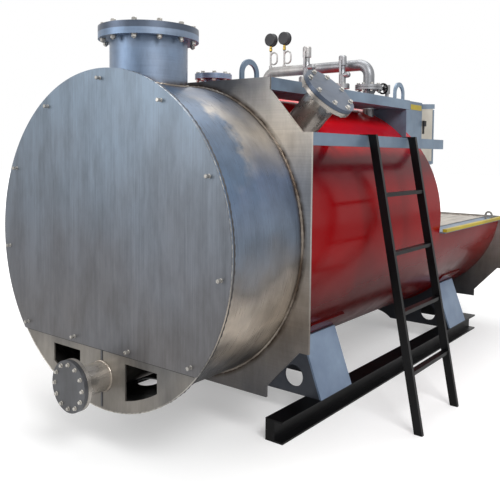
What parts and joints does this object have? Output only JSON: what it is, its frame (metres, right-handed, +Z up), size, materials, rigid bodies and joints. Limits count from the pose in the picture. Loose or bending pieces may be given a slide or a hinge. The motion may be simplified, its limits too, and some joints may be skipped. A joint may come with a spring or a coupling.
{
  "type": "horizontal fire-tube steam boiler",
  "caption": "Red clad horizontal fire-tube boiler with a steel smoke drum, top walkway, front platform, control cabinet, ladder, saddles and base rails.",
  "frame": {"origin": "middle of the plan outline, on the floor under the base rails", "axes": "+X along the boiler from the smoke drum to the front platform, +Z up"},
  "size_m": [3.678, 1.9506, 2.319],
  "materials": {
    "stainless": "brushed",
    "plate_steel": "satin",
    "red_cladding": "gloss",
    "plank_paint": "matte",
    "yellow_paint": "satin",
    "galvanised": "satin",
    "black_paint": "satin",
    "cream_paint": "satin",
    "gasket_sheet": "matte",
    "cast_grey": "matte",
    "brass": "satin"
  },
  "bodies": {
    "boiler": {"base_rail_left": "black_paint", "base_rail_right": "black_paint", "cabinet_body": "cream_paint", "cabinet_hinges": "galvanised", "cabinet_hood": "galvanised", "column_left": "galvanised", "column_right": "galvanised", "compartment_roof": "stainless", "drain_blind": "galvanised", "drain_nozzle": "galvanised", "drum_ring": "stainless", "drum_shell": "stainless", "end_beams": "galvanised", "flue_counter_flange": "stainless", "flue_stub": "stainless", "front_frame_plate": "plate_steel", "front_saddle_pad": "galvanised", "front_saddle_sides": "galvanised", "front_saddle_webs": "galvanised", "gauge_siphons": "stainless", "half_shell": "red_cladding", "hatch_blind": "galvanised", "hatch_nozzle": "galvanised", "ladder_hooks": "black_paint", "ladder_rungs": "black_paint", "ladder_stile_left": "black_paint", "ladder_stile_right": "black_paint", "lifting_lugs": "galvanised", "lower_cover": "stainless", "platform_deck": "galvanised", "platform_edges": "yellow_paint", "platform_eye": "galvanised", "platform_planks": "plank_paint", "pressure_gauges": "black_paint", "rear_frame_plate": "plate_steel", "rear_saddle_pad": "galvanised", "rear_saddle_sides": "galvanised", "rear_saddle_webs": "galvanised", "safety_valves": "stainless", "shell_cladding": "red_cladding", "shell_end_plate": "red_cladding", "side_blind": "galvanised", "side_nozzle": "galvanised", "side_rail_left": "galvanised", "side_rail_right": "galvanised", "steam_gasket": "gasket_sheet", "steam_nozzle": "galvanised", "steam_pipe": "galvanised", "stop_valve": "cast_grey", "upper_cover": "stainless", "valve_stubs": "galvanised", "walkway_channels": "galvanised", "walkway_treads": "galvanised"},
    "cabinet_door": {"cabinet_door": "cream_paint"},
    "handwheel": {"handwheel": "black_paint"}
  },
  "joints": [
    {"name": "cabinet_door_hinge", "type": "hinge", "parent": "boiler", "child": "cabinet_door", "pos_m": [1.0485, 0.10725, 1.5505], "axis": [0, 0, 1], "range_deg": [0, 120]},
    {"name": "handwheel_spindle", "type": "hinge", "parent": "boiler", "child": "handwheel", "pos_m": [0.447, -0.18875, 1.871], "axis": [-1, 0, 0], "range_deg": [0, 360]}
  ]
}
